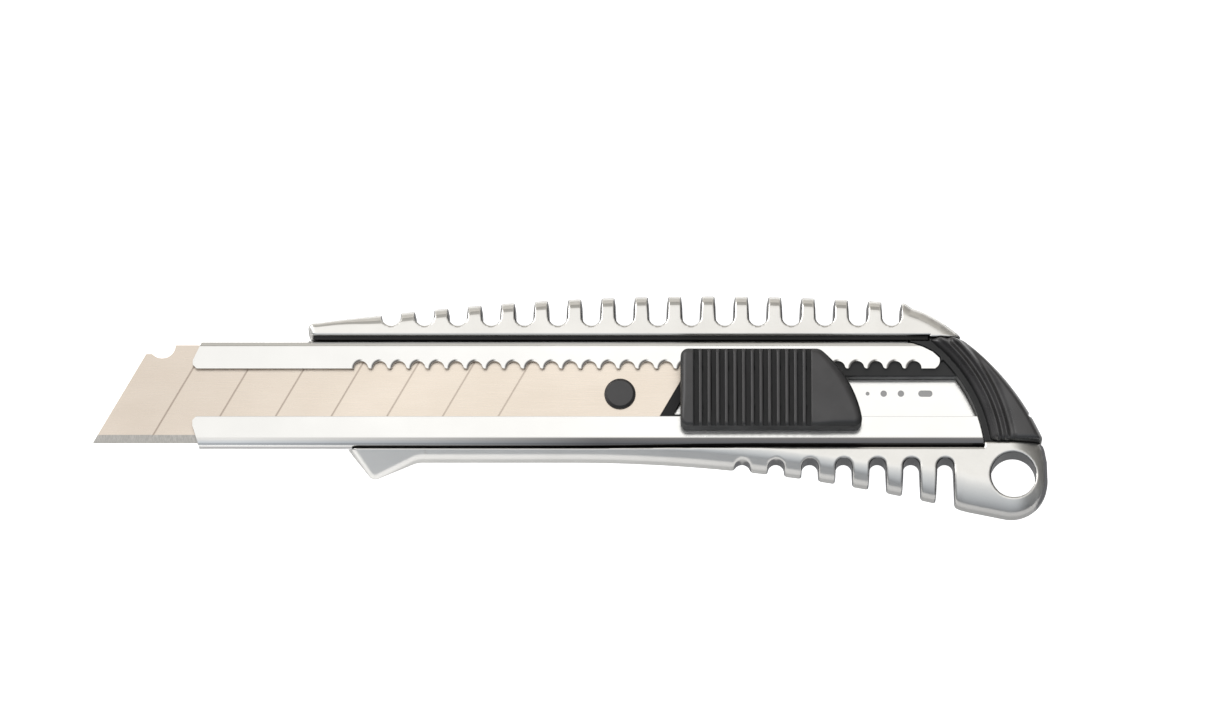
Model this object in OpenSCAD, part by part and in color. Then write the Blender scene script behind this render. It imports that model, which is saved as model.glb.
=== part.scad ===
// Snap-off utility knife with a finned metal handle, an auto-lock slider and a pull-out end plug.
// It lies on its back: X runs from the blade's tip to the rear, Z goes up towards the slider.
// The origin is at the middle of the knife's length and width, at the height of the back face.

/* [Blade] */
// width of the snap-off blade
blade_width = 18; // [17.8:0.1:18]
// thickness of the blade
blade_thickness = 0.5; // [0.4:0.05:0.6]
// length of the blade along its edge
blade_length = 98.95; // [96:0.05:98.95]
// angle of the tip and of the score lines
blade_angle = 60; // [60]
// distance between two score lines
segment_pitch = 10; // [9:0.5:10]
// number of score lines
score_count = 7; // [5:1:7]
// width of the ground bevel at the cutting edge
bevel_width = 1.5; // [1:0.1:2]

/* [Channel] */
// thickness of the stainless sheet
sheet = 0.6; // [0.5:0.05:0.6]
// outer width of the folded channel
channel_width = 19.6; // [19.4:0.1:19.6]
// outer height of the folded channel
channel_height = 4.2; // [4.2]
// distance between two rack notches
rack_pitch = 3.43; // [3.43]
// number of rack notches
rack_count = 30; // [27:1:30]
// radius of a rack notch
notch_radius = 1.27; // [1.2:0.01:1.3]

/* [Handle] */
// thickness of the handle
handle_height = 7.2; // [7:0.1:7.3]
// thickness of the back plate under the channel
plate = 1.6; // [1.6]
// number of fins on the back edge
fin_count = 15; // [9:1:15]
// distance between two fins
fin_pitch = 6; // [6]
// width of the grooves between the fins
groove_width = 3.4; // [3:0.1:3.6]
// number of scallops on the finger edge
scallop_count = 7; // [5:1:7]
// radius of the lanyard hole
lanyard_radius = 4.05; // [3.5:0.05:4.2]

/* [Slider] */
// height of the button's top above the back face
button_top = 11.6; // [11:0.1:12]
// number of grip grooves across the button
grip_count = 14; // [8:1:14]
// distance between two grip grooves
grip_pitch = 1.55; // [1.4:0.05:1.55]
// depth of a grip groove
grip_depth = 0.55; // [0.3:0.05:0.7]
// how far the button shifts on the carriage each way
button_play = 0.9; // [0.9]

/* [View] */
// which sub-part to build

/* [Hidden] */
$fn = 72;
e = 0.01;

// the drawing below has Y = 0 on the blade's centre line, which lies this far from the origin
axis_y = 2.15;
half_length = 85.75;

// heights of the layers, from the back plate up
liner_top = plate + 0.8;
channel_floor = liner_top + sheet;
channel_top = liner_top + channel_height;
lip_under = channel_top - sheet;
carrier_z = channel_floor + 0.2;
carrier_top = carrier_z + 0.8;
seat_top = carrier_top + 1;
rider_top = lip_under - 0.15;

// the blade
half_w = blade_width / 2;
slant = 1 / tan(blade_angle);
tip_x = -half_length;
front_x = tip_x + half_w * slant;
tail_x = front_x + blade_length;
stud_x = 8.95;
stud_r = 2.75;
stud_shank_r = 1.5;
score_width = 0.24;

// the channel
bend = 1.4;
channel_front = -67.85;
slot_low = -4.3;
slot_high = 4.5;
rack_x = -37.6;

lip_end = [64.85, 5.95];
lip_end_r = 1.6;
mark_y = 0.62;
mark_r = 0.58;
mark_depth = 0.15;
long_mark = [63.2, 64.6];

// the handle's outline
fin_x = -29.2;
fin_root = 12.3;
groove_flare = 0.25;
groove_rise = 6;
rail_tip = [-46.1, 11.9];
rail_tip_r = 1.05;
hook = [-34.95, -13.4];
hook_r = 1.25;
back_bevel = 1.3;
finger_bevel = 2.2;
back_r = 486;
back_x = 24.5;
back_y = 17.9;
belly_y = -11.65;
belly_r = 290;
pocket_low = -10;
pocket_high = 10.9;
liner_x = -46.2;
scallop_x = 30.9;
scallop_pitch = 6.07;
scallop_root = -12;
body_rivet_x = [-36, 2];
body_rivet_r = 1.4;
rivet_tail_r = 2.3;
rivet_tail_depth = 0.6;
sink_r = 1.6;
lobe_r = 6.5;
lobe = [half_length - lobe_r, -15.7];
lanyard = [79.55, -15];

// the liner's wall between the channel and the fins
liner_low = channel_width / 2 + 0.15;
liner_high = pocket_high - 0.1;
liner_wall_top = channel_top - 0.7;

// the end plug: the curve where the channel stops and the curve of the knife's rear end
mouth = [47.26, -12.91];
mouth_r = 27.19;
heel = [41.17, -28.03];
heel_r = 47.95;
plug_top = 8.1;
tongue_x = 46;
tongue_low = 3.2;
plug_gap = 0.2;
rib_from = [2.6, 4.6];
rib_width = 1.2;
rib_rise = 0.45;

// the slider
tooth_x = rack_x + 20 * rack_pitch;
button_z = channel_top + 0.15;
neck_low = -3.6;
neck_high = 1.9;
pin_x = [32.5, 39.5];
neck_rivet_x = [26.3, 45.7];
neck_rivet_r = 0.8;
carrier_rivet_at = [[5.8, 6], [5.8, -6], [15, -6]];
carrier_half = 8.7;
bar_width = 2.2;
window_low = -3.8;
carrier_rivet_r = 1;
carrier_head_r = 1.8;
leaf = 0.35;
leaf_y = 1.95;
tooth_y = 4.3;
tooth_r = 1.15;
ring_r = 2.55;
ring_sheet = 0.25;
pin_z = 7.9;
pin_r = 0.7;
pin_slot_r = pin_r + 0.08;
button_front = 19.8;
button_low = -6.9;
button_high = 7.3;
button_corner = 1.4;
button_rear = [32.4, -8.66];
button_rear_r = 20.2;
grip_x = 22.6;
grip_width = 0.85;

module place() {
  translate([0, axis_y, 0]) children();
}

// a bar that stands on height z0, drawn from above
module slab(z0, z1) {
  translate([0, 0, z0]) linear_extrude(z1 - z0) children();
}

// a strip that leans like the blade's tip, from x0 to x1 on the centre line
module leaning(x0, x1, y0, y1) {
  polygon([[x0 + y0 * slant, y0], [x1 + y0 * slant, y0], [x1 + y1 * slant, y1], [x0 + y1 * slant, y1]]);
}

// a rectangle with four round corners
module rounded(x0, y0, x1, y1, r) {
  translate([x0 + r, y0]) square([x1 - x0 - 2 * r, y1 - y0]);
  translate([x0, y0 + r]) square([x1 - x0, y1 - y0 - 2 * r]);
  for (x = [x0 + r, x1 - r], y = [y0 + r, y1 - r]) translate([x, y]) circle(r);
}

// ---------- handle ----------

// points on a circle's arc, from angle a0 to a1
function arc(c, r, a0, a1, n = 8) =
  [for (i = [0:n]) let (a = a0 + (a1 - a0) * i / n) [c[0] + r * cos(a), c[1] + r * sin(a)]];

// front of the handle: rail tip, slanted mouth and finger bump
module front_outline() {
  polygon(concat(
    [[0.5, 20], [-45.8, 20]],
    arc(rail_tip, rail_tip_r, 90, 200, 6),
    [[-39.8, -9.8]],
    arc([-40.6, -13.3], 3.2, 62, -2, 6),
    arc(hook, hook_r, 205, 300, 6),
    [[-31.9, -13.05], [-29.5, -12.15], [-27, belly_y], [0.5, belly_y]]));
}

// rear of the handle: two straight runs down to the end plug
module rear_outline() {
  polygon([[-0.5, 20], [59.8, 20], [59.8, 16.4], [65, 14.2], [67.2, 12.75], [69.4, 11.1], [70.3, 10.2],
           [71, 8], [71, -19], [69.3, -19], [69.3, -26], [-0.5, -26]]);
}

// plate behind the end plug
module heel_outline() {
  intersection() {
    polygon([[68, -10], [68, 10.2], [90, 10.2], [90, -10]]);
    translate(heel) circle(heel_r - 0.25, $fn = 200);
  }
}

// lobe with the lanyard hole
module lobe_outline() {
  polygon(concat(
    [[72, -10], [69.3, -12], [69.3, -19.2], [69.6, -20], [70.3, -20.5]],
    arc(lobe, lobe_r, 257, 360, 20),
    [[85.6, -12], [85.1, -9.7], [84.3, -8.95], [72, -8.95]]));
}

module handle_blank() {
  h = handle_height;
  intersection() {
    union() {
      slab(0, h) front_outline();
      difference() {
        slab(0, h) rear_outline();
        translate([0, belly_y - belly_r, -1]) cylinder(h = h + 2, r = belly_r, $fn = 360);
      }
      slab(0, h) heel_outline();
    }
    translate([back_x, back_y - back_r, -1]) cylinder(h = h + 2, r = back_r, $fn = 480);
  }
  slab(0, h) lobe_outline();
}

// groove between two fins with a round root and drafted walls; s = 1 opens to +Y and s = -1 to -Y
module groove(x, y, s) {
  r = groove_width / 2 - groove_flare;
  wide = groove_width / 2;
  translate([x, y + s * r, -1]) {
    cylinder(h = 20, r = r);
    linear_extrude(20) polygon([[-r, 0], [r, 0], [wide, s * groove_rise], [wide, s * 2 * groove_rise],
                                [-wide, s * 2 * groove_rise], [-wide, s * groove_rise]]);
  }
}

// slanted cut along the upper edge of a straight stretch of the outline, from a to b
module edge_bevel(a, b) {
  run = norm(b - a);
  translate([a[0], a[1], handle_height - finger_bevel])
    rotate([0, 0, atan2(b[1] - a[1], b[0] - a[0])])
      rotate([-45, 0, 0])
        translate([-2, -8, 0]) cube([run + 4, 8, 8]);
}

module handle_body() {
  color([0.84, 0.83, 0.80])
  place()
  difference() {
    handle_blank();
    // bevel along the finned back edge
    translate([back_x, back_y - back_r, handle_height - back_bevel]) difference() {
      translate([0, 0, -e]) cylinder(h = 3, r = back_r + 5, $fn = 480);
      translate([0, 0, -2 * e]) cylinder(h = 3.02, r1 = back_r, r2 = back_r - 3.02, $fn = 480);
    }
    // bevel along the finger edge
    edge_bevel([-25, belly_y], [6, belly_y]);
    edge_bevel([6, -11.71], [30, -13.2]);
    edge_bevel([30, -13.2], [50, -15.96]);
    edge_bevel([50, -15.96], [70, -20.1]);
    // bevel round the lobe
    translate([lobe[0], lobe[1], handle_height - finger_bevel]) difference() {
      translate([-1.4, -12, 0]) cube([12, 12, 4]);
      translate([0, 0, -e]) cylinder(h = 4.02, r1 = lobe_r, r2 = lobe_r - 4.02);
    }
    edge_bevel([half_length, lobe[1]], [85.3, -9]);
    edge_bevel([70.2, -20.35], [77.8, -22.04]);
    for (i = [0:fin_count]) groove(fin_x + fin_pitch * (i - 0.5), fin_root, 1);
    for (i = [0:scallop_count - 1]) groove(scallop_x + scallop_pitch * i, scallop_root, -1);
    // pocket for the channel and its liner
    slab(plate, 20) polygon([[-60, pocket_low], [74.3, pocket_low], [74.3, 0], [64.6, 0],
                             [64.6, pocket_high], [-60, pocket_high]]);
    // pocket for the end plug, open to the rear
    slab(plate, 20) translate([64.5, -9]) square([40, 19.2]);
    translate([lanyard[0], lanyard[1], -1]) cylinder(h = 20, r = lanyard_radius);
    // holes for the two rivets, with room for their tails
    for (x = body_rivet_x) translate([x, 0, 0]) {
      translate([0, 0, -1]) cylinder(h = 4, r = body_rivet_r + 0.05);
      translate([0, 0, -1]) cylinder(h = 1 + rivet_tail_depth, r = rivet_tail_r + 0.1);
    }
  }
}

module channel_liner() {
  color([0.10, 0.10, 0.10])
  place()
  difference() {
    union() {
      slab(plate, liner_top)
        polygon([[liner_x, liner_high], [-38.9, -9.8], [60.4, -9.8], [60.4, liner_high]]);
      slab(plate, liner_wall_top) translate([liner_x, liner_low])
        square([64.3 - liner_x, liner_high - liner_low]);
    }
    for (x = body_rivet_x) translate([x, 0, 0]) cylinder(h = 5, r = body_rivet_r + 0.05);
  }
}

module channel_rivets() {
  color([0.62, 0.62, 0.64])
  place()
  for (x = body_rivet_x) translate([x, 0, 0]) {
    translate([0, 0, 0.3]) cylinder(h = channel_floor - 0.3, r = body_rivet_r);
    // countersunk head in the channel's floor
    translate([0, 0, liner_top]) cylinder(h = sheet, r1 = sink_r, r2 = sink_r + 0.9);
    translate([0, 0, 0.05]) cylinder(h = rivet_tail_depth - 0.1, r = rivet_tail_r);
  }
}

// ---------- channel ----------

module channel_section() {
  c = channel_width / 2;
  difference() {
    rounded(-c, liner_top, c, channel_top, bend);
    rounded(-c + sheet, channel_floor, c - sheet, lip_under, bend - sheet);
    translate([slot_low, lip_under - 1]) square([slot_high - slot_low, 4]);
  }
}

// view from above of everything that the sheet covers
module channel_plan() {
  intersection() {
      polygon(concat(
        [[channel_front, -6], [-66.6, -9.9], [90, -9.9], [90, 2], [66.4, 5.2]],
        arc(lip_end, lip_end_r, 0, 55, 5),
        [[63.4, 8.45], [59.5, 9.9], [-66, 9.9], [channel_front, 6], [channel_front, 5.2],
         [channel_front + 0.7, slot_high], [-66.8, 3], [-66.8, -3],
         [channel_front + 0.7, slot_low], [channel_front, -5]]));
      union() {
        translate(mouth) circle(mouth_r, $fn = 160);
        translate([-80, -12]) square([mouth[0] + 80, 24]);
      }
  }
}

// notches in the upper lip, with round teeth between them
module rack() {
  crest_r = rack_pitch / 2 - notch_radius + 0.05;
  crest_y = slot_high + crest_r;
  for (i = [0:rack_count - 1]) translate([rack_x + rack_pitch * i, 0, lip_under - 0.2]) {
    translate([0, slot_high + 0.08, 0]) cylinder(h = 2, r = notch_radius);
    if (i > 0) difference() {
      translate([-rack_pitch, slot_high - e, 0]) cube([rack_pitch, crest_r + e, 2]);
      translate([-rack_pitch / 2, crest_y, -1]) cylinder(h = 4, r = crest_r);
    }
  }
}

module blade_channel() {
  color([0.90, 0.90, 0.89])
  place()
  difference() {
    intersection() {
      translate([-70, 0, 0]) rotate([90, 0, 90]) linear_extrude(150) channel_section();
      slab(0, 12) channel_plan();
    }
    rack();
    // the upper lip's rear end is cut round like a tongue
    slab(lip_under - 0.2, 12)
      polygon(concat([[65.65, 4.3], [70, 3], [70, 9.8]], arc(lip_end, lip_end_r, 55, -60, 8)));
    for (x = body_rivet_x)
      translate([x, 0, liner_top - e]) cylinder(h = sheet + 2 * e, r1 = sink_r, r2 = sink_r + 0.92);
    // small coined marks on the floor behind the slider
    for (x = [56.4, 59.5])
      translate([x, mark_y, channel_floor - mark_depth]) cylinder(h = 1, r = mark_r);
    translate([53.5, mark_y, channel_floor - mark_depth]) cylinder(h = 1, r = 0.6 * mark_r);
    for (x = long_mark)
      translate([x, mark_y, channel_floor - mark_depth]) cylinder(h = 1, r = mark_r);
    slab(channel_floor - mark_depth, channel_floor + 1) translate([long_mark[0], mark_y - mark_r])
      square([long_mark[1] - long_mark[0], 2 * mark_r]);
  }
}

// ---------- carriage ----------

module blade() {
  h = half_w;
  t = blade_thickness;
  color([0.88, 0.83, 0.78])
  place()
  difference() {
    intersection() {
      translate([-100, 0, seat_top]) rotate([90, 0, 90]) linear_extrude(160)
        polygon([[h, 0], [h, t], [-h + bevel_width, t], [-h, t / 2 + 0.03], [-h, t / 2 - 0.03],
                 [-h + bevel_width, 0]]);
      slab(seat_top - 1, seat_top + 1) leaning(front_x, tail_x, -h - 1, h + 1);
    }
    // round cut-out in the back edge, and the trimmed corner beside it
    translate([-73.4, h, seat_top - 1]) cylinder(h = 3, r = 2.4);
    slab(seat_top - 1, seat_top + 1) translate([-80, h - 1.6]) square([5.4, 3]);
    translate([stud_x, 0, seat_top - 1]) cylinder(h = 3, r = stud_r + 0.07);
    // score lines
    for (i = [1:score_count]) slab(seat_top + t - 0.12, seat_top + 1)
      translate([front_x + segment_pitch * i, 0]) leaning(-score_width / 2, score_width / 2, -h - 1, h + 1);
  }
}

// wide part under the blade's tail and narrow part under the slider
module carrier_slab(z0, z1) {
  slab(z0, z1) {
    rounded(3, -carrier_half, 22.6, carrier_half, 1);
    rounded(18, -carrier_half, 47.5, neck_high, 0.8);
  }
}

module blade_carrier() {
  color([0.86, 0.86, 0.85])
  place()
  difference() {
    carrier_slab(carrier_z, carrier_top);
    for (p = carrier_rivet_at) translate([p[0], p[1], 0]) cylinder(h = 10, r = carrier_rivet_r + 0.02);
    for (x = neck_rivet_x) translate([x, -1, 0]) cylinder(h = 10, r = neck_rivet_r + 0.02);
  }
}

module blade_seat() {
  color([0.13, 0.13, 0.13])
  place()
  difference() {
    union() {
      carrier_slab(carrier_top, seat_top);
      // stop bar behind the blade's tail
      slab(carrier_top, rider_top) intersection() {
        leaning(tail_x + 0.12, tail_x + bar_width, -carrier_half, 4);
        translate([0, 0.1 - carrier_half]) square([22.6, 20]);
      }
      // rider that keeps the carriage under the lips
      slab(carrier_top, rider_top) rounded(24, -carrier_half, 47.5, neck_high, 0.8);
      // thin rim beside the window
      slab(carrier_top, rider_top) translate([17.2, window_low - 0.45]) square([8, 0.45]);
    }
    // window that shows the carrier
    slab(carrier_top - 1, 10) intersection() {
      leaning(tail_x + bar_width, tail_x + 12, window_low, 1.2);
      translate([0, window_low]) square([24.2, 5]);
    }
    translate([stud_x, 0, 0]) cylinder(h = 10, r = stud_shank_r + 0.02);
    for (p = carrier_rivet_at) translate([p[0], p[1], 0]) {
      cylinder(h = 10, r = carrier_rivet_r + 0.02);
      translate([0, 0, carrier_top + 0.4]) cylinder(h = 10, r = carrier_head_r + 0.02);
    }
    for (x = neck_rivet_x) translate([x, -1, 0]) cylinder(h = 10, r = neck_rivet_r + 0.02);
  }
}

module carrier_rivets() {
  color([0.62, 0.62, 0.64])
  place()
  for (p = carrier_rivet_at) translate([p[0], p[1], carrier_z]) {
    cylinder(h = 1.75, r = carrier_rivet_r);
    translate([0, 0, 1.2]) cylinder(h = 0.55, r = carrier_head_r);
  }
}

module blade_stud() {
  color([0.22, 0.22, 0.22])
  place()
  translate([stud_x, 0, 0]) {
    translate([0, 0, carrier_top]) cylinder(h = 1.5, r = stud_shank_r);
    translate([0, 0, seat_top]) cylinder(h = 1, r = stud_r);
    translate([0, 0, seat_top + 1]) cylinder(h = 0.4, r1 = stud_r, r2 = stud_r - 0.45);
  }
}

module slider_neck() {
  color([0.16, 0.16, 0.17])
  place()
  difference() {
    union() {
      slab(rider_top, channel_top - 0.2) rounded(24.7, neck_low, 47.3, neck_high, 0.5);
      slab(rider_top, channel_top + 0.1) rounded(24.7, neck_low, 30, neck_high, 0.5);
      slab(rider_top, 8.9) rounded(29, neck_low, 43, 0.7, 0.5);
    }
    // room for the lock spring to bend back
    slab(0, 12) translate([28.4, 0.75]) square([14, 3]);
    // slots in which the button's pins travel
    for (x = pin_x) translate([x, 5, pin_z]) rotate([90, 0, 0]) {
      for (s = [-1, 1]) translate([s * button_play, 0, 0]) cylinder(h = 12, r = pin_slot_r);
      translate([-button_play, -pin_slot_r, 0]) cube([2 * button_play, 2 * pin_slot_r, 12]);
    }
    for (x = neck_rivet_x) translate([x, -1, 0]) cylinder(h = 10, r = neck_rivet_r + 0.02);
  }
}

module neck_rivets() {
  color([0.62, 0.62, 0.64])
  place()
  for (x = neck_rivet_x) translate([x, -1, carrier_z]) {
    cylinder(h = 3.8, r = neck_rivet_r);
    translate([0, 0, channel_top + 0.1 - carrier_z]) cylinder(h = 0.35, r = 1.35);
  }
}

// leaf with a round tooth; its rear end is bent over the neck and held by a rivet
module lock_spring() {
  color([0.72, 0.72, 0.70])
  place()
  difference() {
    union() {
      slab(5.9, channel_top + 0.1) {
        translate([tooth_x - 1.9, leaf_y]) square([1, leaf]);
        translate([tooth_x + tooth_r - leaf, leaf_y]) square([46.6 - tooth_x - tooth_r + leaf, leaf]);
        for (x = [-tooth_r, tooth_r - leaf])
          translate([tooth_x + x, leaf_y]) square([leaf, tooth_y - leaf_y + 0.05]);
        difference() {
          translate([tooth_x, tooth_y]) circle(tooth_r);
          translate([tooth_x, tooth_y]) circle(tooth_r - leaf);
          translate([tooth_x - 3, tooth_y - 4]) square([6, 4]);
        }
      }
      slab(channel_top - 0.2, channel_top + 0.1) translate([44.2, -2.2]) square([2.9, 4.5]);
    }
    translate([neck_rivet_x[1], -1, 0]) cylinder(h = 10, r = neck_rivet_r + 0.02);
  }
}

// ---------- button ----------

// straight front, long curve behind; every corner is round
module button_outline(inset) {
  i = inset;
  r = button_corner;
  low = button_low + r;
  high = button_high - r;
  // the rear curve touches a small corner circle below and another above
  rear_low = button_rear[0] + sqrt(pow(button_rear_r - r, 2) - pow(low - button_rear[1], 2));
  rear_high = button_rear[0] + sqrt(pow(button_rear_r - r, 2) - pow(high - button_rear[1], 2));
  turn_low = atan2(low - button_rear[1], rear_low - button_rear[0]);
  turn_high = atan2(high - button_rear[1], rear_high - button_rear[0]);
  polygon(concat(
    arc([button_front + r, high], r - i, 90, 180),
    arc([button_front + r, low], r - i, 180, 270),
    arc([rear_low, low], r - i, 270, 360 + turn_low),
    arc(button_rear, button_rear_r - i, turn_low, turn_high, 24),
    arc([rear_high, high], r - i, turn_high, 90)));
}

module thumb_button() {
  color([0.17, 0.17, 0.17])
  place()
  difference() {
    union() {
      slab(button_z, button_top - 0.6) button_outline(0);
      slab(button_top - 0.7, button_top) button_outline(0.6);
    }
    // grip grooves across the top
    for (i = [0:grip_count - 1])
      translate([grip_x + grip_pitch * i - grip_width / 2, -8, button_top - grip_depth])
        cube([grip_width, 17, 2]);
    // hollow for the neck and its springs
    slab(button_z - 1, 9.2) translate([23.6, -4.2]) square([24.8, 6.4]);
    for (x = pin_x) translate([x, 4.6, pin_z]) rotate([90, 0, 0]) cylinder(h = 10.6, r = pin_r + 0.02);
  }
}

module button_pins() {
  color([0.72, 0.72, 0.72])
  place()
  for (x = pin_x) translate([x, 4.5, pin_z]) rotate([90, 0, 0]) cylinder(h = 10.4, r = pin_r);
}

// two open rings of spring strip, one at each end of the neck
module return_springs() {
  color([0.72, 0.72, 0.70])
  place()
  for (x = neck_rivet_x) slab(7.25, 8.85) difference() {
    translate([x, -1.4]) circle(ring_r);
    translate([x, -1.4]) circle(ring_r - ring_sheet);
    translate([x - 0.8, -1.4]) square([1.6, 4]);
  }
}

// ---------- end plug ----------

module plug_outline() {
  intersection() {
    polygon([[60, -8.9], [86, -8.9], [86, 10.1], [64.6, 10.1], [64.6, 9.65], [60, 9.65]]);
    translate(heel) circle(heel_r, $fn = 200);
  }
}

// everything outside the channel's end curve, r away from its centre
module outside_mouth(r) {
  difference() {
    slab(0, 20) plug_outline();
    translate([mouth[0], mouth[1], -1]) cylinder(h = 30, r = r, $fn = 160);
  }
}

module between(z0, z1) {
  intersection() {
    translate([55, -8.9, z0]) cube([40, 19, z1 - z0]);
    children();
  }
}

module end_plug() {
  color([0.15, 0.15, 0.15])
  place() {
    // body that fills the rear pocket
    between(plate + 0.1, channel_top) outside_mouth(mouth_r + plug_gap);
    slab(plate + 0.1, channel_top)
      polygon(concat([[60.7, 9.65], [63.5, 8.63]], arc(lip_end, lip_end_r + 0.17, 50, -5, 5),
                     [[68, 6.5], [70, 10.1], [64.6, 10.1], [64.6, 9.65]]));
    // raised outer part
    between(channel_top - 0.1, plug_top) difference() {
      outside_mouth(mouth_r + rib_from[0]);
      // the outer edge slopes down to the rear
      translate([heel[0], heel[1], plug_top - 1.6]) difference() {
        cylinder(h = 4, r = heel_r + 5, $fn = 200);
        translate([0, 0, -e]) cylinder(h = 4, r1 = heel_r, r2 = heel_r - 4, $fn = 200);
      }
    }
    // curved ribs
    for (r = [mouth_r, mouth_r] + rib_from) between(plug_top - 0.1, plug_top + rib_rise) difference() {
      outside_mouth(r);
      translate([mouth[0], mouth[1], 0]) difference() {
        cylinder(h = 20, r = 60);
        translate([0, 0, -1]) cylinder(h = 22, r = r + rib_width, $fn = 160);
      }
      translate([50, 8.2, 0]) cube([40, 8, 20]);
    }
    // tongue that reaches into the channel
    slab(channel_floor + 0.2, lip_under - 0.25)
      polygon([[tongue_x, tongue_low], [72, tongue_low], [69, 6.5], [66.5, 8.9], [tongue_x, 8.9]]);
  }
}

handle_body();
channel_liner();
blade_channel();
channel_rivets();
blade();
blade_carrier();
blade_seat();
carrier_rivets();
blade_stud();
slider_neck();
neck_rivets();
lock_spring();
thumb_button();
button_pins();
return_springs();
end_plug();
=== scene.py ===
"""Looks of a snap-off utility knife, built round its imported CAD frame.

The handle, the thumb button and the end plug are moulded or cast, with rounded edges everywhere. Each is
meshed here from a distance field: a function that is negative inside the piece and zero on its surface.
The sheet-metal, blade and hardware pieces keep their CAD shape and get bevels and materials.

Fields are drawn in millimetres with Y = 0 on the blade's centre line, as in the CAD source.
"""
import math

import bpy
import numpy as np
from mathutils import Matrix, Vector


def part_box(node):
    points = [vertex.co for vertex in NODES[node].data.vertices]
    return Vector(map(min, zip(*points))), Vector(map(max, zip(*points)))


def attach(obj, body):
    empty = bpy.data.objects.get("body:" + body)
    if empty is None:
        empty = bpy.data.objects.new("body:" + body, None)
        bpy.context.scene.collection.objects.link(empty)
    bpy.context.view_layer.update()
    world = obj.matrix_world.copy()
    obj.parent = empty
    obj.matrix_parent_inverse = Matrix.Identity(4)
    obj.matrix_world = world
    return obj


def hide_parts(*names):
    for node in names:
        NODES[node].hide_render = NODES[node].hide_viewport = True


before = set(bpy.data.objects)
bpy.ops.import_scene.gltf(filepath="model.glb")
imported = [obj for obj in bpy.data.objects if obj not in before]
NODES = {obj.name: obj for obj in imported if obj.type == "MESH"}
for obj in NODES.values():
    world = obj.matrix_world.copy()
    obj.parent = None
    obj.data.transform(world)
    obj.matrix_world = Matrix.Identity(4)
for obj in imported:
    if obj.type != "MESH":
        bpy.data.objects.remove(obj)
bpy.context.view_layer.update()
MM = 0.001


def box_mm(node):
    """A CAD node's lowest and highest corner in millimetres, with Y counted from the blade's centre line."""
    low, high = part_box(node)
    shift = np.array([0, AXIS_Y, 0])
    return np.array(low) / MM - shift, np.array(high) / MM - shift


blade_low, blade_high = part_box("blade")
AXIS_Y = (blade_low.y + blade_high.y) / 2 / MM
BLADE_HALF = (blade_high.y - blade_low.y) / 2 / MM
HANDLE_LOW, HANDLE_HIGH = box_mm("handle_body")
BUTTON_LOW, BUTTON_HIGH = box_mm("thumb_button")
PLUG_LOW, PLUG_HIGH = box_mm("end_plug")
CHANNEL_LOW, CHANNEL_HIGH = box_mm("blade_channel")
PLATE = box_mm("channel_liner")[0][2]

# score lines on the blade, slanted and evenly spaced from the tip
SLANT = math.tan(math.radians(30))
SCORE_PITCH = 10
SCORE_COUNT = 7
FIRST_SCORE = blade_low.x / MM + BLADE_HALF * SLANT + SCORE_PITCH

# the channel's slot and the round notches of its rack
SLOT_LOW = -4.3
RACK_X = -37.6
RACK_PITCH = 3.43
RACK_END = 62.4
NOTCH_Y = 4.58
NOTCH_R = 1.27


# ---------- distance fields ----------

def arc(centre, radius, start, end, steps=10):
    """Points on a circle's arc, with angles in degrees."""
    angles = np.radians(np.linspace(start, end, steps + 1))
    return [(centre[0] + radius * math.cos(a), centre[1] + radius * math.sin(a)) for a in angles]


def outline_distance(x, y, points):
    """Distance to a closed outline, negative inside."""
    x, y = np.broadcast_arrays(x, y)
    nearest = np.full(x.shape, np.inf)
    inside = np.zeros(x.shape, bool)
    for (ax, ay), (bx, by) in zip(points, points[1:] + points[:1]):
        ex, ey = bx - ax, by - ay
        wx, wy = x - ax, y - ay
        t = np.clip((wx * ex + wy * ey) / (ex * ex + ey * ey), 0, 1)
        nearest = np.minimum(nearest, (wx - t * ex) ** 2 + (wy - t * ey) ** 2)
        if ey:
            inside ^= ((ay > y) != (by > y)) & (wx < ex * wy / ey)
    return np.where(inside, -1, 1) * np.sqrt(nearest)


def disc(x, y, centre, radius):
    return np.hypot(x - centre[0], y - centre[1]) - radius


def slab(x, y, low, high):
    """Distance to an upright rectangle given by two corners."""
    dx = np.maximum(low[0] - x, x - high[0])
    dy = np.maximum(low[1] - y, y - high[1])
    return np.minimum(np.maximum(dx, dy), 0) + np.hypot(np.maximum(dx, 0), np.maximum(dy, 0))


def meet(a, b, r):
    """What two shapes share, with the edge between them rounded to radius r."""
    inner = np.minimum(np.maximum(a, b), -r)
    return inner + np.hypot(np.maximum(a + r, 0), np.maximum(b + r, 0))


def cut(a, b, r):
    """a without b, with the rim rounded to radius r."""
    return meet(a, -b, r)


def ease(value, middle, width):
    """Rises smoothly from 0 to 1 as a value passes the middle."""
    return 1 / (1 + np.exp((middle - value) / width))


# ---------- meshing ----------

CORNERS = [(i, j, k) for i in (0, 1) for j in (0, 1) for k in (0, 1)]


def cell_edges():
    """The twelve edges of a cell as pairs of corners."""
    return [(a, b) for a in CORNERS for b in CORNERS if a < b and sum(abs(p - q) for p, q in zip(a, b)) == 1]


def surface_cells(values):
    """Cells that the surface runs through, and the mean crossing point in each, in grid steps."""
    shape = tuple(n - 1 for n in values.shape)

    def corner(c):
        return values[tuple(slice(o, o + n) for o, n in zip(c, shape))]

    inside = sum((corner(c) < 0).astype(np.int8) for c in CORNERS)
    cells = np.argwhere((inside > 0) & (inside < 8))
    total, count = np.zeros(cells.shape), np.zeros(len(cells))
    for a, b in cell_edges():
        va = values[tuple((cells + a).T)]
        vb = values[tuple((cells + b).T)]
        crosses = (va < 0) != (vb < 0)
        t = np.where(crosses, va / np.where(crosses, va - vb, 1), 0)[:, None]
        point = np.array(a) + t * (np.array(b) - np.array(a))
        total += np.where(crosses[:, None], point, 0)
        count += crosses
    return cells, cells + total / count[:, None]


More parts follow.
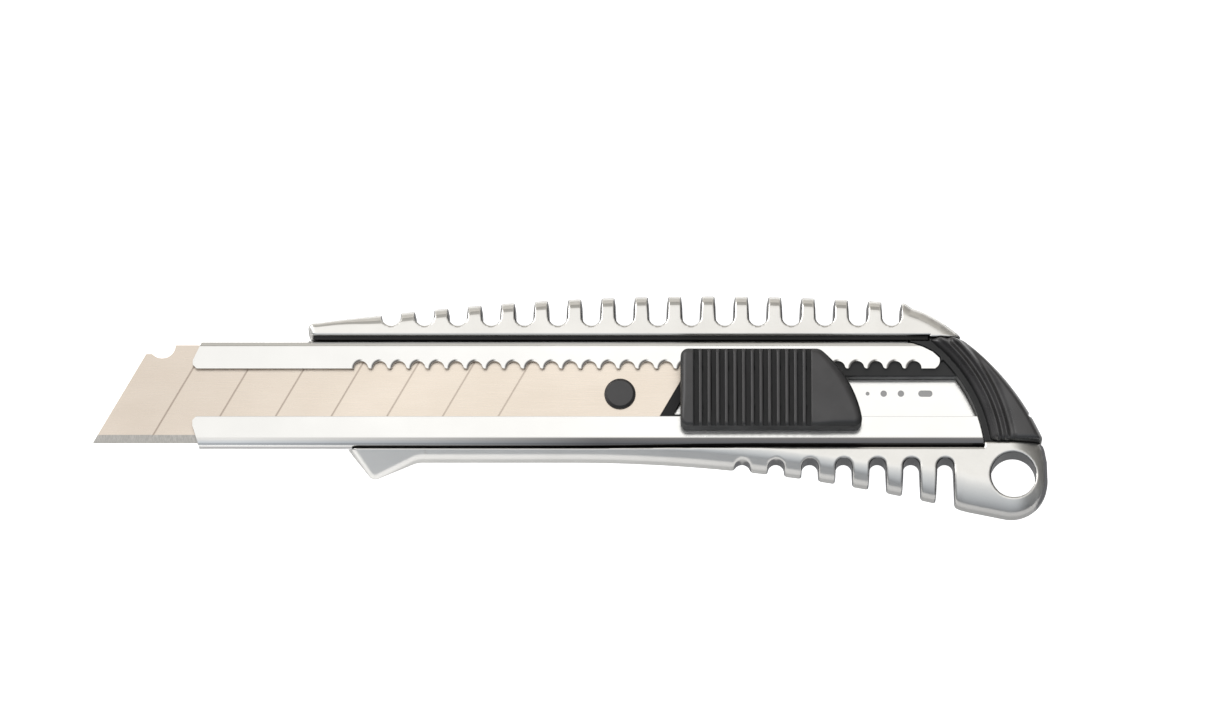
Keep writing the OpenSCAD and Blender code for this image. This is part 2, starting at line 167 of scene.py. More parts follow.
def surface_quads(values, cells):
    """One quad for each grid edge that crosses the surface."""
    number = np.full([n - 1 for n in values.shape], -1, np.int32)
    number[tuple(cells.T)] = np.arange(len(cells))
    quads = []
    for axis in range(3):
        u, v = (axis + 1) % 3, (axis + 2) % 3
        step = np.eye(3, dtype=int)
        low = values[tuple(slice(0, -1) if i == axis else slice(1, -1) for i in range(3))]
        high = values[tuple(slice(1, None) if i == axis else slice(1, -1) for i in range(3))]
        for rising in (True, False):
            found = (low < 0) & (high >= 0) if rising else (low >= 0) & (high < 0)
            at = np.argwhere(found) + step[u] + step[v]
            ring = [at - step[u] - step[v], at - step[v], at, at - step[u]]
            if not rising:
                ring.reverse()
            quads.append(np.stack([number[tuple(c.T)] for c in ring], 1))
    return np.concatenate(quads)


def slope_at(field, points, h):
    """The field's value and slope at each point."""
    here = field(*points.T)
    return here, np.stack([field(*(points + h * np.eye(3)[i]).T) - here for i in range(3)], 1) / h


def settle(field, points, step):
    """Moves points onto the field's surface along its slope."""
    for _ in range(3):
        here, slope = slope_at(field, points, step * 0.1)
        size = np.maximum((slope ** 2).sum(1), 0.25)
        move = here[:, None] * slope / size[:, None]
        points = points - np.clip(move, -step * 0.5, step * 0.5)
    return points


def recess(field, points, normals):
    """How closely other walls stand beside each point, from 0 in the open to 1 in a narrow groove."""
    flat = normals * (1, 1, 0)
    size = np.linalg.norm(flat, axis=1)
    flat = flat / np.maximum(size, 1e-3)[:, None]
    near = sum(np.clip(1 - field(*(points + h * flat).T) / h, 0, 1) for h in (2.5, 5.5))
    return np.clip(near * np.clip(size * 5 - 3.75, 0, 1), 0, 1)


def mesh_field(name, field, low, high, step):
    """A smooth mesh of the surface where field(x, y, z) is zero, between two corners."""
    axes = [np.arange(a - 2 * step, b + 2.5 * step, step) for a, b in zip(low, high)]
    values = field(axes[0][:, None, None], axes[1][None, :, None], axes[2][None, None, :])
    cells, points = surface_cells(values)
    quads = surface_quads(values, cells)
    origin = np.array([a[0] for a in axes])
    points = settle(field, origin + points * step, step)
    slope = slope_at(field, points, step * 0.1)[1]
    normals = slope / np.maximum(np.linalg.norm(slope, axis=1), 1e-6)[:, None]
    flat_points = points.copy()
    points[:, 1] += AXIS_Y
    mesh = bpy.data.meshes.new(name)
    mesh.from_pydata((points * MM).tolist(), [], quads.tolist())
    mesh.update()
    mesh.shade_smooth()
    mesh.normals_split_custom_set_from_vertices(normals.tolist())
    depth = mesh.attributes.new("recess", "FLOAT", "POINT")
    depth.data.foreach_set("value", recess(field, flat_points, normals))
    piece = bpy.data.objects.new(name, mesh)
    bpy.context.scene.collection.objects.link(piece)
    return piece


# ---------- handle ----------

HANDLE_TOP = HANDLE_HIGH[2]
BACK_CENTRE = (24.5, -468)
BACK_R = 486
BELLY_CENTRE = (0, -301.65)
BELLY_R = 290
RAIL_TIP = (-46.1, 11.9)
RAIL_TIP_R = 1.05
HOOK = (-35.05, -13.4)
HOOK_R = 1.35
FINGER_REST = (-26.5, -16.45)
FINGER_REST_R = 4.8
FINGER_Y = -11.67
BUMP_END = -26
LOBE_R = 6.5
LOBE = (HANDLE_HIGH[0] - LOBE_R, -15.7)
LANYARD = (79.55, -15)
LANYARD_R = 4.05

# the curve where the channel ends and the curve of the knife's rear end
MOUTH = (47.26, -12.91)
MOUTH_R = 27.19
HEEL = (41.17, -28.03)
HEEL_R = 47.95

# the pocket for the channel, and the wider one behind it for the plug
POCKET_LOW = -10
POCKET_HIGH = 10.55
POCKET_END = 64.6
PLUG_POCKET_LOW = -9
PLUG_POCKET_HIGH = 10.2

# grooves between the fins along the back, and scallops along the finger edge
GROOVE_R = 1.45
GROOVE_DRAFT = 0.04
CAST_DRAFT = 0.04
FIN_X = -32.2
FIN_PITCH = 6
FIN_COUNT = 16
FIN_ROOT = 12.58
SCALLOP_X = 30.9
SCALLOP_PITCH = 6.07
SCALLOP_COUNT = 7
SCALLOP_ROOT = -12

# how the handle's upper edges fall away: a crown along the back, a bevel along the finger edge
CROWN_R = 2.9
CROWN_LESS_AT_TIP = 1.5
CROWN_SLOPE = 0.8
BEVEL = 2.5
BEVEL_R = 0.9
BEVEL_MORE_AT_LOBE = 1.4

# recesses over the two rivets, on the underside
RIVET_X = (-36, 2)
RIVET_SINK_R = 2.4
RIVET_SINK_DEPTH = 0.6


def run_along(centre, r, x0, x1, steps):
    """Points on a circle's upper side between two values of X."""
    return [(x, centre[1] + math.sqrt(r * r - (x - centre[0]) ** 2)) for x in np.linspace(x0, x1, steps)]


def handle_points():
    """The knife's silhouette without its channel: back edge, rear end, lobe, finger edge and front."""
    back = run_along(BACK_CENTRE, BACK_R, -45.4, 60.3, 40)
    hump = [(61.6, 15.75), (63.4, 15.1), (65, 14.3), (67.3, 12.9), (69.5, 11.2), (70.45, 10.2)]
    rear = arc(HEEL, HEEL_R - 0.25, 52.5, 25.5, 16) + [(85.2, -9.9), (85.65, -12.2)]
    lobe = arc(LOBE, LOBE_R, 0, -103, 20) + [(71.2, -20.7), (70.0, -20.35)]
    belly = run_along(BELLY_CENTRE, BELLY_R, 69.3, 0, 30)
    bump = arc(FINGER_REST, FINGER_REST_R, 92, 117, 8) + arc(HOOK, HOOK_R, 297, 220, 12) + [(-39.8, -9.6)]
    tip = arc(RAIL_TIP, RAIL_TIP_R, 200, 110, 6)
    return back + hump + rear + lobe + belly + bump + tip


def grooves(x, y, r, first, pitch, count, root_y, side):
    """A row of grooves with round roots and drafted walls that open to one side, +1 or -1."""
    i = np.clip(np.round((x - first) / pitch), 0, count - 1)
    u = np.abs(x - first - pitch * i)
    v = side * (y - root_y) - GROOVE_R
    return np.where(v > 0, u - r - GROOVE_DRAFT * v, np.hypot(u, v) - r)


def crowned(side, top, r, slope, rim):
    """A body whose top falls away to its side along a radius r, down to a slope given as a sine."""
    return meet(meet(side - r * (1 - slope), top, r), side, rim)


def bevelled(side, top, width, r):
    """A top with a 45 degree bevel towards its side; r rounds the bevel's upper edge."""
    return meet((side + top + width) * math.sqrt(0.5), top, r)


def handle_field(x, y, z):
    outline = outline_distance(x, y, handle_points())
    top = z - HANDLE_TOP
    back = crowned(outline, top, CROWN_R - CROWN_LESS_AT_TIP * ease(-x, 38, 2), CROWN_SLOPE, 0.4)
    # on the finger bump the bevel runs on straight, past the outline of the finger edge
    edge = np.where(x < BUMP_END, FINGER_Y - y, outline)
    finger = bevelled(edge, top, BEVEL, BEVEL_R + BEVEL_MORE_AT_LOBE * ease(x, 60, 3))
    finger = meet(finger, outline, 0.8)
    body = meet(np.where(y > 0, back, finger), -z, 0.9)
    fin_r = GROOVE_R + CAST_DRAFT * z
    body = cut(body, grooves(x, y, fin_r, FIN_X, FIN_PITCH, FIN_COUNT, FIN_ROOT, 1), 0.3)
    body = cut(body, grooves(x, y, GROOVE_R, SCALLOP_X, SCALLOP_PITCH, SCALLOP_COUNT, SCALLOP_ROOT, -1), 0.5)
    front = slab(x, y, (-60, POCKET_LOW), (POCKET_END, POCKET_HIGH))
    under_lip = slab(x, y, (0, POCKET_LOW), (74.3, 0))
    rear = slab(x, y, (POCKET_END - 0.1, PLUG_POCKET_LOW), (104, PLUG_POCKET_HIGH))
    pocket = np.minimum(front, np.minimum(under_lip, rear))
    body = cut(body, np.maximum(pocket, PLATE - z), 0.4)
    body = cut(body, disc(x, y, LANYARD, LANYARD_R), 0.5)
    for rivet_x in RIVET_X:
        sink = np.maximum(disc(x, y, (rivet_x, 0), RIVET_SINK_R), z - RIVET_SINK_DEPTH)
        body = cut(body, sink, 0.15)
    return body


# ---------- button ----------

# the grip's grooves
GRIP_COUNT = 14
GRIP_PITCH = 1.55
GRIP_X = 22.6
GRIP_HALF_WIDTH = 0.43
GRIP_DEPTH = 0.75

BUTTON_CROWN = 0.003
CORNER_R = 1.4
NOSE_X = 50.93
SHOULDER = (32.4, -8.66)
SHOULDER_R = 20.2
HOLLOW_TOP = 9.2


def button_points():
    """The button from above: square front corners, a round nose and a long round shoulder at the rear."""
    front = BUTTON_LOW[0] + CORNER_R
    low = BUTTON_LOW[1] + CORNER_R
    high = BUTTON_HIGH[1] - CORNER_R
    return (arc((front, high), CORNER_R, 90, 180, 6) + arc((front, low), CORNER_R, 180, 270, 6)
            + arc((NOSE_X, low), CORNER_R, 270, 369.7, 8) + arc(SHOULDER, SHOULDER_R, 9.7, 50, 16)
            + arc((44.08, 5.3), 2, 52, 90, 5))


def button_field(x, y, z):
    top = BUTTON_HIGH[2] - BUTTON_CROWN * y ** 2
    outline = outline_distance(x, y, button_points())
    # the upper edge is rounder along the back and round the rear
    body = meet(outline, z - top, 0.7 + 0.4 * ease(y, -3, 1) + 0.6 * ease(x, 46, 1))
    body = meet(body, BUTTON_LOW[2] - z, 0.2)
    i = np.clip(np.round((x - GRIP_X) / GRIP_PITCH), 0, GRIP_COUNT - 1)
    groove = np.maximum(np.abs(x - GRIP_X - GRIP_PITCH * i) - GRIP_HALF_WIDTH, top - GRIP_DEPTH - z)
    body = cut(body, groove, 0.25)
    hollow = np.maximum(slab(x, y, (23.6, -4.2), (48.4, 2.2)), z - HOLLOW_TOP)
    return cut(body, hollow, 0.2)


# ---------- end plug ----------

# distances out from the channel's end
RIBS_AT = (2.8, 4.3)
RIB_HEIGHT = 0.8
RIB_SPREAD = 0.45
BAND_FROM = 5.6
BAND_HEIGHT = 0.55
PLUG_HIGH_Y = 10.1
CHANNEL_SIDE = 9.65
LIP_END = (64.85, 5.95)
TONGUE_X = 46


def plug_top(s):
    """Height of the plug's top at a distance s from the channel's end: two ribs, then a smooth outer band."""
    ribs = sum(RIB_HEIGHT * np.exp(-((s - at) / RIB_SPREAD) ** 2) for at in RIBS_AT)
    band = BAND_HEIGHT * ease(s, BAND_FROM, 0.2)
    inner_slope = 1.4 * np.clip((2.6 - s) / 1.7, 0, 1) ** 2
    outer_slope = 0.03 * np.maximum(s - 6.5, 0) ** 2
    return PLUG_HIGH[2] - 0.75 + ribs + band - inner_slope - outer_slope


def plug_field(x, y, z):
    s = disc(x, y, MOUTH, MOUTH_R)
    upper = slab(x, y, (POCKET_END, -8.9), (90, PLUG_HIGH_Y))
    plan = np.minimum(upper, slab(x, y, (60, -8.9), (80, CHANNEL_SIDE)))
    plan = meet(plan, disc(x, y, HEEL, HEEL_R - 0.1), 0.8)
    # the corner that fills the gap above the upper lip's round end
    wedge = outline_distance(x, y, [(60.7, CHANNEL_SIDE), (63.5, 8.63)] + arc(LIP_END, 1.77, 50, -5, 5)
                             + [(68, 6.5), (70, PLUG_HIGH_Y), (POCKET_END, PLUG_HIGH_Y),
                                (POCKET_END, CHANNEL_SIDE)])
    low = np.minimum(np.maximum(plan, 0.2 - s), wedge)
    low = meet(low, z - CHANNEL_HIGH[2], 0.2)
    high = meet(np.maximum(plan, 0.9 - s), (z - plug_top(s)) * 0.75, 1.2)
    body = np.maximum(np.minimum(low, high), PLATE + 0.1 - z)
    dimple = np.maximum(disc(x, y, (82.6, -4.2), 0.35), 4 - z)
    body = cut(body, dimple, 0.15)
    tongue = outline_distance(x, y, [(TONGUE_X, 3.2), (72, 3.2), (69, 6.5), (66.5, 8.9), (TONGUE_X, 8.9)])
    layer = np.maximum(CHANNEL_LOW[2] + 0.8 - z, z - CHANNEL_HIGH[2] + 0.85)
    return np.minimum(body, meet(tongue, layer, 0.2))


# ---------- materials ----------

class Material:
    """A node material that reads positions on the piece in millimetres."""

    def __init__(self, name, metallic, specular=0.5):
        self.material = bpy.data.materials.new(name)
        self.material.use_nodes = True
        self.tree = self.material.node_tree
        self.shader = self.tree.nodes["Principled BSDF"]
        self.shader.inputs["Metallic"].default_value = metallic
        self.shader.inputs["Specular IOR Level"].default_value = specular
        self.coordinates = self.add("ShaderNodeTexCoord")
        scale = self.add("ShaderNodeVectorMath", operation="SCALE")
        scale.inputs["Scale"].default_value = 1 / MM
        self.link(self.coordinates.outputs["Object"], scale.inputs[0])
        self.place = scale.outputs[0]

    def add(self, kind, **settings):
        node = self.tree.nodes.new(kind)
        for key, value in settings.items():
            setattr(node, key, value)
        return node

    def link(self, source, target):
        self.tree.links.new(source, target)

    def noise(self, per_mm, detail=3, stretch=(1, 1, 1)):
        """Noise with that many waves per millimetre, drawn out where stretch is small."""
        mapping = self.add("ShaderNodeMapping")
        mapping.inputs["Scale"].default_value = stretch
        self.link(self.place, mapping.inputs["Vector"])
        noise = self.add("ShaderNodeTexNoise")
        noise.inputs["Scale"].default_value = per_mm
        noise.inputs["Detail"].default_value = detail
        self.link(mapping.outputs[0], noise.inputs["Vector"])
        return noise.outputs["Fac"]

    def spread(self, value, low, high, start=0.3, end=0.7):
        """The value from start to end, spread over low to high."""
        node = self.add("ShaderNodeMapRange")
        for key, number in zip(("From Min", "From Max", "To Min", "To Max"), (start, end, low, high)):
            node.inputs[key].default_value = number
        self.link(value, node.inputs["Value"])
        return node.outputs[0]

    def recess(self):
        """The piece's own measure of how enclosed a point is."""
        return self.add("ShaderNodeAttribute", attribute_name="recess").outputs["Fac"]

    def facing(self, axis, sign=0):
        """How much the surface faces along an axis: one way with sign +1 or -1, either way without."""
        parts = self.add("ShaderNodeSeparateXYZ")
        self.link(self.coordinates.outputs["Normal"], parts.inputs[0])
        if sign:
            return self.math("MULTIPLY", parts.outputs[axis], sign)
        return self.math("ABSOLUTE", parts.outputs[axis], 0)

    def part(self, axis):
        """The position's coordinate along X, Y or Z."""
        parts = self.add("ShaderNodeSeparateXYZ")
        self.link(self.place, parts.inputs[0])
        return parts.outputs[axis]

    def math(self, operation, first, second, third=0.0):
        node = self.add("ShaderNodeMath", operation=operation)
        for socket, value in zip(node.inputs, (first, second, third)):
            if isinstance(value, (int, float)):
                socket.default_value = value
            else:
                self.link(value, socket)
        return node.outputs[0]

    def times(self, first, second):
        return self.math("MULTIPLY", first, second)

    def largest(self, first, *others):
        for other in others:
            first = self.math("MAXIMUM", first, other)
        return first

    def near(self, value, middle, reach):
        """1 where the value lies within reach of the middle, else 0."""
        return self.math("COMPARE", value, middle, reach)

    def mix(self, factor, first, second):
        """Colour between two others; each may be a tuple or a socket."""
        node = self.add("ShaderNodeMix", data_type="RGBA")
        self.link(factor, node.inputs["Factor"])
        for socket, colour in ((node.inputs[6], first), (node.inputs[7], second)):
            if isinstance(colour, tuple):
                socket.default_value = (*colour, 1)
            else:
                self.link(colour, socket)
        return node.outputs[2]

    def bump(self, height, depth_mm, strength=1.0, under=None):
        node = self.add("ShaderNodeBump")
        node.inputs["Strength"].default_value = strength
        node.inputs["Distance"].default_value = depth_mm * MM
        self.link(height, node.inputs["Height"])
        if under is not None:
            self.link(under, node.inputs["Normal"])
        return node.outputs[0]

    def finish(self, colour, roughness, normal=None):
        self.link(colour, self.shader.inputs["Base Color"])
        self.link(roughness, self.shader.inputs["Roughness"])
        if normal is not None:
            self.link(normal, self.shader.inputs["Normal"])
        return self.material


def grey(value):
    return (value, value, value)


def cast_zinc():
    """Cast metal with painted shade in its grooves and on its sides, most at the rear end."""
    m = Material("cast_zinc", 1.0)
    m.shader.inputs["Specular Tint"].default_value = (*grey(0.45), 1)
    cloud = m.noise(0.12, 4)
    grain = m.noise(4.0, 3)
    zinc_tone = m.mix(m.spread(cloud, 0, 1), (0.80, 0.785, 0.75), (0.86, 0.845, 0.81))
    # painted shade: darker where other walls stand close, in grooves and holes
    colour = m.mix(m.spread(m.recess(), 0, 1, 0.05, 0.65), zinc_tone, (0.15, 0.15, 0.155))
    # painted shade on the sides that face the finger edge, the rear, the back and the front
    painted_finger_shade = m.spread(m.facing("Y", -1), 0, 0.5, 0.15, 0.7)
    painted_finger_shade = m.times(painted_finger_shade, m.spread(m.part("X"), 0.45, 1.25, -42, 80))
    painted_rear_shade = m.spread(m.facing("X", 1), 0, 0.98, 0.42, 0.72)
    painted_back_shade = m.spread(m.facing("Y", 1), 0, 0.65, 0.8, 0.97)
    painted_front_shade = m.spread(m.facing("X", -1), 0, 0.65, 0.6, 0.95)
    # painted shade on upright walls inside grooves
    upright = m.spread(m.facing("Z"), 0.85, 0, 0.15, 0.55)
    painted_groove_shade = m.times(upright, m.spread(m.recess(), 0, 1, 0.05, 0.4))
    shade = m.largest(painted_finger_shade, painted_rear_shade, painted_groove_shade, painted_back_shade, painted_front_shade)
    colour = m.mix(shade, colour, (0.10, 0.10, 0.105))
    # painted dark line, standing in for a reflection, where the back edge's crown begins to fall away
    painted_crown_reflection = m.near(m.facing("Y", 1), 0.25, 0.11)
    painted_crown_reflection = m.times(painted_crown_reflection, m.spread(m.facing("X"), 0.5, 0, 0.04, 0.12))
    colour = m.mix(painted_crown_reflection, colour, (0.22, 0.215, 0.20))
    normal = m.bump(m.noise(0.35, 2), 0.06, 0.35)
    normal = m.bump(grain, 0.012, 0.5, normal)
    return m.finish(colour, m.spread(grain, 0.30, 0.40), normal)


def painted_notch_shadows(m):
    """Painted shadows beside the rack's punched notches, on the flank towards the tip."""
    across = m.math("WRAP", m.math("SUBTRACT", m.part("X"), RACK_X), RACK_PITCH / 2, -RACK_PITCH / 2)
    up = m.math("SUBTRACT", m.part("Y"), NOTCH_Y + AXIS_Y)
    away = m.math("SQRT", m.math("ADD", m.times(across, across), m.times(up, up)), 0)
    rim = m.spread(away, 1, 0, NOTCH_R + 0.2, NOTCH_R + 0.45)
    flank = m.times(rim, m.spread(across, 1, 0, -0.3, 0.3))
    rack_start = RACK_X - NOTCH_R - 0.5
    on_rack = m.near(m.part("X"), (rack_start + RACK_END) / 2, (RACK_END - rack_start) / 2)
    on_lip = m.spread(m.part("Z"), 0, 1, CHANNEL_HIGH[2] - 0.7, CHANNEL_HIGH[2] - 0.6)
    return m.times(flank, m.times(on_rack, on_lip))


def rolled_steel():
    """Bright rolled strip, darker towards the tip, with painted shade on upright faces, in the coined dents
    and along the bends.
    """
    m = Material("rolled_stainless", 1.0)
    streaks = m.noise(6.0, 4, (0.02, 1, 1))
    cloud = m.noise(0.08, 3)
    front = m.mix(m.spread(cloud, 0, 1), (0.79, 0.785, 0.765), (0.84, 0.835, 0.815))
    rear = m.mix(m.spread(cloud, 0, 1), (0.89, 0.885, 0.865), (0.95, 0.945, 0.925))
    bright = m.mix(m.spread(m.part("X"), 0, 1, -60, 20), front, rear)
    back_bend = CHANNEL_HIGH[1] + AXIS_Y - 0.9
    finger_bend = CHANNEL_LOW[1] + AXIS_Y + 1.6
    # painted shade on upright faces, weaker from the back fold outwards
    painted_upright_shade = m.spread(m.facing("Z"), 1, 0, 0.2, 0.6)
    painted_upright_shade = m.times(painted_upright_shade, m.spread(m.part("Y"), 1, 0.15, back_bend - 0.2, back_bend))
    # painted shade along the fold on the finger side, stronger towards the rear
    painted_fold_shade = m.spread(m.part("Y"), 1, 0, finger_bend - 0.15, finger_bend + 0.15)
    painted_fold_shade = m.times(painted_fold_shade, m.spread(m.part("X"), 0.2, 1, -60, 5))
    colour = m.mix(m.largest(painted_upright_shade, painted_fold_shade), bright, (0.15, 0.145, 0.145))
    # painted shade in the coined dents, at the height of their floor
    painted_dent_shade = m.near(m.part("Z"), CHANNEL_LOW[2] + 0.45, 0.06)
    colour = m.mix(painted_dent_shade, colour, grey(0.30))
    # painted shadows beside the rack's notches
    colour = m.mix(painted_notch_shadows(m), colour, (0.13, 0.125, 0.12))
    # painted shadow along the edge of the slot's finger-side lip
    painted_lip_shadow = m.near(m.part("Y"), SLOT_LOW + AXIS_Y, 0.12)
    painted_lip_shadow = m.times(painted_lip_shadow, m.spread(m.part("Z"), 0, 0.35, CHANNEL_HIGH[2] - 1, CHANNEL_HIGH[2] - 0.5))
    colour = m.mix(painted_lip_shadow, colour, (0.21, 0.20, 0.20))
    normal = m.bump(m.noise(0.05, 1), 0.12, 0.5)
    normal = m.bump(streaks, 0.002, 0.3, normal)
    return m.finish(colour, m.spread(streaks, 0.13, 0.21), normal)


def blade_steel():
    """Satin stock, greyer towards the tip, with score lines darkened by painted shade and a ground edge."""
    m = Material("blade_steel", 1.0)
    streaks = m.noise(7.0, 5, (0.03, 1, 1))
    cloud = m.noise(0.07, 3, (1, 2, 1))
    tip = m.mix(m.spread(cloud, 0, 1), (0.65, 0.57, 0.49), (0.70, 0.62, 0.54))
    rear = m.mix(m.spread(cloud, 0, 1), (0.78, 0.69, 0.59), (0.83, 0.74, 0.64))
    flat = m.mix(m.spread(m.part("X"), 0, 1, -75, -30), tip, rear)
    # distance from the blade's front end, along the knife and following the slant
    along = m.math("MULTIPLY_ADD", m.part("Y"), -SLANT, m.part("X"))
    along = m.math("SUBTRACT", along, FIRST_SCORE - SCORE_PITCH - SLANT * AXIS_Y)
    # painted shade in the score lines
    line = m.spread(m.math("PINGPONG", along, SCORE_PITCH / 2), 0.6, 0, 0.06, 0.26)
    line = m.times(line, m.spread(m.part("X"), 1.5, 1, -75, -20))
    scored = m.near(along, (SCORE_COUNT + 1) / 2 * SCORE_PITCH, SCORE_COUNT / 2 * SCORE_PITCH)
    flat = m.mix(m.times(line, scored), flat, (0.40, 0.33, 0.28))
    bevel_top = blade_low.y / MM + 1.5
    ground = m.spread(m.part("Y"), 1, 0, bevel_top - 0.05, bevel_top + 0.05)
    scratches = m.noise(9.0, 3, (1, 0.05, 1))
    steel = m.mix(m.spread(scratches, 0, 1), (0.35, 0.34, 0.32), (0.51, 0.49, 0.46))
    colour = m.mix(ground, flat, steel)
    return m.finish(colour, m.spread(streaks, 0.24, 0.34), m.bump(streaks, 0.0015, 0.3))


def plain_steel():
    m = Material("plain_steel", 1.0)
    cloud = m.noise(1.5, 3)
    colour = m.mix(m.spread(cloud, 0, 1), grey(0.55), (0.66, 0.66, 0.65))
    return m.finish(colour, m.spread(cloud, 0.28, 0.42), m.bump(m.noise(8.0, 2), 0.006, 0.4))


def black_plastic(name, tone, specular, rough, shaded_and_dull_below=None):
    """Moulded plastic with a fine grain and painted shade on its finger side; below a height it can be
    rougher, with painted shade.
    """
    m = Material(name, 0.0, specular)
    grain = m.noise(7.0, 2)
    cloud = m.noise(0.25, 3)
    warm_black = np.array((1, 0.96, 0.97)) * tone
    colour = m.mix(m.spread(cloud, 0, 1), tuple(warm_black * 0.85), tuple(warm_black * 1.15))
    # painted shade on the finger side
    colour = m.mix(m.spread(m.facing("Y", -1), 0, 0.85, 0.3, 0.8), colour, grey(0.005))
    roughness = m.spread(cloud, rough, rough + 0.1)
    if shaded_and_dull_below:
        # painted shade below the height, which is also rougher there
        shade_and_dullness = m.spread(m.part("Z"), 1, 0, shaded_and_dull_below - 0.3, shaded_and_dull_below + 0.3)
        colour = m.mix(shade_and_dullness, colour, grey(0.006))
        roughness = m.math("MULTIPLY_ADD", shade_and_dullness, 0.25, roughness)
    return m.finish(colour, roughness, m.bump(grain, 0.012, 0.5))


def paint(piece, material):
    piece.data.materials.clear()
    piece.data.materials.append(material)


def soften(piece, width_mm):
    """Small bevels on a CAD piece's sharp edges."""
    bevel = piece.modifiers.new("edges", "BEVEL")
    bevel.width = width_mm * MM
    bevel.segments = 2
    bevel.limit_method = "ANGLE"
    bevel.angle_limit = math.radians(35)
    bevel.harden_normals = True


# ---------- pieces ----------

ZINC, STAINLESS, BLADE, STEEL = cast_zinc(), rolled_steel(), blade_steel(), plain_steel()
PLASTIC = black_plastic("black_plastic", 0.058, 0.5, 0.36)
BUTTON_PLASTIC = black_plastic("button_plastic", 0.058, 0.5, 0.36, BUTTON_HIGH[2] - 0.42)
PLUG_PLASTIC = black_plastic("plug_plastic", 0.055, 0.6, 0.24, CHANNEL_HIGH[2] + 0.5)
# a darker copy with painted shade, and less gloss, for the recessed pieces
SHADED_DULL_PLASTIC = black_plastic("shaded_dull_black_plastic", 0.012, 0.3, 0.4)


def moulded(name, node, body, field, box, step, material):
    """Meshes a piece from its field, inside its CAD node's box, and puts it in that node's place."""
    piece = mesh_field(name, field, *box, step)
    paint(piece, material)
    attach(piece, body)
    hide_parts(node)


moulded("cast_handle", "handle_body", "handle", handle_field, (HANDLE_LOW, HANDLE_HIGH), 0.28,
        ZINC)
moulded("ribbed_button", "thumb_button", "button", button_field, (BUTTON_LOW, BUTTON_HIGH), 0.15,
        BUTTON_PLASTIC)
moulded("ribbed_plug", "end_plug", "plug", plug_field, (PLUG_LOW, PLUG_HIGH), 0.18,
        PLUG_PLASTIC)

# material and bevel width in millimetres of the pieces that keep their CAD shape
FINISHES = {
    "blade_channel": (STAINLESS, 0.05),
    "blade_carrier": (STAINLESS, 0.04),
    "blade": (BLADE, 0),
    "channel_liner": (SHADED_DULL_PLASTIC, 0.08),
    "blade_seat": (SHADED_DULL_PLASTIC, 0.05),
    "blade_stud": (PLASTIC, 0.1),
    "slider_neck": (SHADED_DULL_PLASTIC, 0.05),
    "channel_rivets": (STEEL, 0.08),
    "carrier_rivets": (STEEL, 0.05),
    "neck_rivets": (STEEL, 0.05),
    "lock_spring": (STEEL, 0.03),
    "button_pins": (STEEL, 0.05),
    "return_springs": (STEEL, 0.02),
}
for node, (material, bevel_mm) in FINISHES.items():
    paint(NODES[node], material)
    if bevel_mm:
        soften(NODES[node], bevel_mm)


# ---------- stage ----------

# the floor's half width in metres, then millimetres from the knife's middle: the painted glow is full up to
# the first, gone at the second, and the floor's painted shade is darkest from the third on
FLOOR_HALF = 3.0
FULL_GLOW_R = 160
NO_GLOW_R = 500
DARKEST_R = 700


def floor():
    """A pale table that glows round the knife, painted light in place of a lamp; further out painted shade
    darkens it.
    """
    mesh = bpy.data.meshes.new("floor")
    corner = FLOOR_HALF
    mesh.from_pydata([(-corner, -corner, 0), (corner, -corner, 0), (corner, corner, 0), (-corner, corner, 0)],
                     [], [(0, 1, 2, 3)])
    plane = bpy.data.objects.new("floor", mesh)
    bpy.context.scene.collection.objects.link(plane)
    m = Material("pale_floor", 0.0, 0.2)
    colour = m.mix(m.spread(m.noise(0.01, 2), 0, 1), grey(0.93), grey(0.95))
    away = m.add("ShaderNodeVectorMath", operation="LENGTH")
    m.link(m.place, away.inputs[0])
    colour = m.mix(m.spread(away.outputs["Value"], 0, 1, FULL_GLOW_R, DARKEST_R), colour, grey(0.40))
    paint(plane, m.finish(colour, m.spread(m.noise(0.02, 2), 0.75, 0.85)))
    # painted light: the floor glows round the knife
    m.link(colour, m.shader.inputs["Emission Color"])
    m.link(m.spread(away.outputs["Value"], 0.7, 0, FULL_GLOW_R, NO_GLOW_R), m.shader.inputs["Emission Strength"])


def soft_lamp(name, place, side, power):
    """A square lamp without shadows, aimed at the knife."""
    data = bpy.data.lights.new(name, "AREA")
    data.shape = "SQUARE"
    data.size = side
    data.energy = power
    data.use_shadow = False
    lamp = bpy.data.objects.new(name, data)
    lamp.location = place
    lamp.rotation_mode = "QUATERNION"
    lamp.rotation_quaternion = (-Vector(place)).to_track_quat("-Z", "Y")
    bpy.context.scene.collection.objects.link(lamp)


def gradient(tree, value, stops):
    """A colour ramp over a value, with a stop at each of the given places."""
    low = stops[0][0]
    high = stops[-1][0]
    spread = tree.nodes.new("ShaderNodeMapRange")
    spread.inputs["From Min"].default_value = low
    spread.inputs["From Max"].default_value = high
    tree.links.new(value, spread.inputs["Value"])
    ramp = tree.nodes.new("ShaderNodeValToRGB")
    tree.links.new(spread.outputs[0], ramp.inputs[0])
    ends = ramp.color_ramp.elements
    for place, colour in stops[1:-1]:
        ends.new((place - low) / (high - low)).color = (*colour, 1)
    ends[0].color = (*stops[0][1], 1)
    ends[len(ends) - 1].color = (*stops[-1][1], 1)
    return ramp.outputs[0]


# the room's colour by how far a direction leans across the knife, in radians from straight up, from the
# finger side to the back: a bright box overhead with a sharp far edge
ACROSS = [(-1.6, (0.62, 0.65, 0.69)), (-1.10, (0.46, 0.49, 0.53)), (-0.75, (0.82, 0.87, 0.93)),
          (-0.30, (0.90, 0.92, 0.94)), (-0.05, (1.04, 1.04, 1.04)), (0.42, (1.04, 1.03, 1.01)),
          (0.56, (0.30, 0.29, 0.27)), (0.80, (0.62, 0.60, 0.56)), (1.6, (0.50, 0.48, 0.45))]
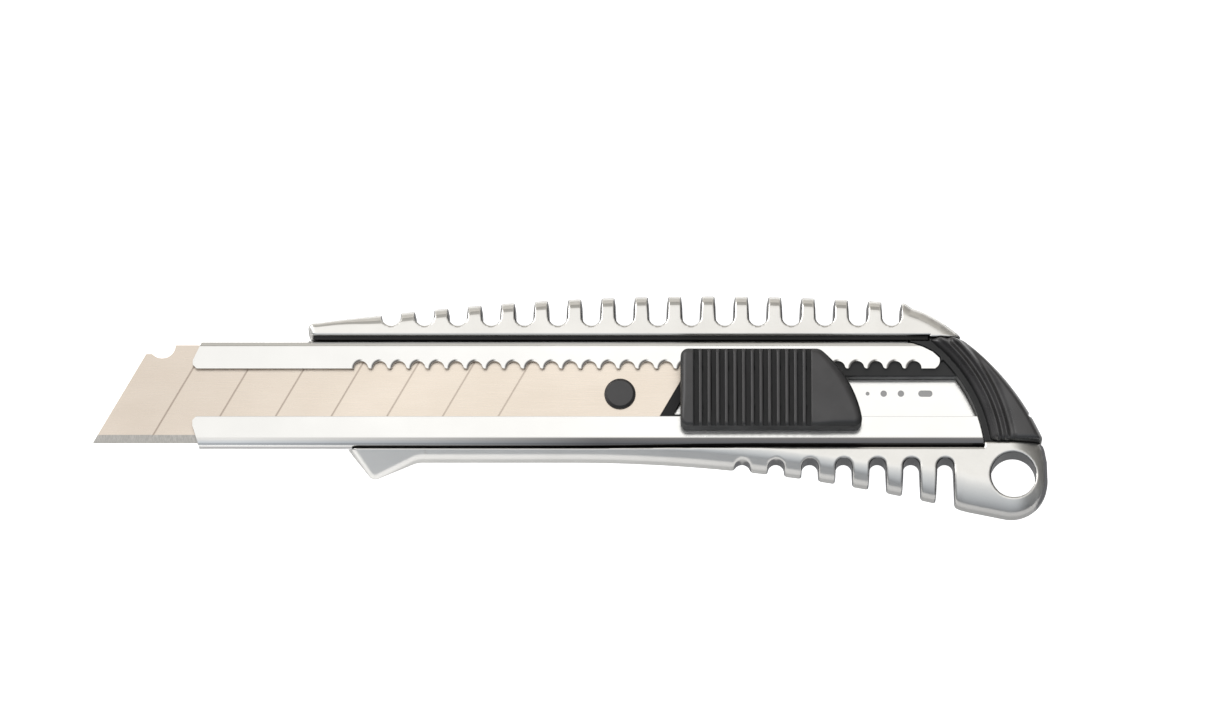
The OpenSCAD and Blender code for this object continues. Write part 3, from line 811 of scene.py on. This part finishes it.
# and by the direction's X: the box is as long as the knife, and the room's ends are dim
ALONG = [(-1, grey(0.30)), (-0.55, grey(0.40)), (-0.25, grey(1.0)), (0.25, grey(1.0)), (0.5, grey(0.28)),
         (1, grey(0.22))]


def studio():
    """A wide soft box overhead, a little behind the knife, in a grey room."""
    world = bpy.data.worlds.new("studio")
    world.use_nodes = True
    tree = world.node_tree
    place = tree.nodes.new("ShaderNodeTexCoord")
    parts = tree.nodes.new("ShaderNodeSeparateXYZ")
    tree.links.new(place.outputs["Generated"], parts.inputs[0])
    lean = tree.nodes.new("ShaderNodeMath")
    lean.operation = "ARCTAN2"
    tree.links.new(parts.outputs["Y"], lean.inputs[0])
    tree.links.new(parts.outputs["Z"], lean.inputs[1])
    both = tree.nodes.new("ShaderNodeMix")
    both.data_type = "RGBA"
    both.blend_type = "MULTIPLY"
    both.inputs["Factor"].default_value = 1
    tree.links.new(gradient(tree, lean.outputs[0], ACROSS), both.inputs[6])
    tree.links.new(gradient(tree, parts.outputs["X"], ALONG), both.inputs[7])
    tree.links.new(both.outputs[2], tree.nodes["Background"].inputs["Color"])
    tree.nodes["Background"].inputs["Strength"].default_value = 1.1
    bpy.context.scene.world = world
    soft_lamp("key", (-0.9, 0.6, 0.9), 0.8, 10)


# the camera's tilt and distance in metres, the point it looks at, and how much of the knife's length it sees
VIEW_TILT = math.radians(12.5)
VIEW_FROM = 2.0
VIEW_CENTRE = Vector((6.25, 7.35 + AXIS_Y, 5.65)) * MM
VIEW_WIDTH = 217.626 * MM


def camera():
    """Looks down on the knife from the finger side, tilted by a few degrees from straight above."""
    data = bpy.data.cameras.new("camera")
    data.lens = data.sensor_width * VIEW_FROM / VIEW_WIDTH
    data.clip_start = 0.01
    data.clip_end = 20
    eye = bpy.data.objects.new("camera", data)
    eye.location = VIEW_CENTRE + VIEW_FROM * Vector((0, -math.sin(VIEW_TILT), math.cos(VIEW_TILT)))
    eye.rotation_euler = (VIEW_TILT, 0, 0)
    bpy.context.scene.collection.objects.link(eye)
    bpy.context.scene.camera = eye


floor()
studio()
camera()
bpy.context.scene.view_settings.view_transform = "Standard"
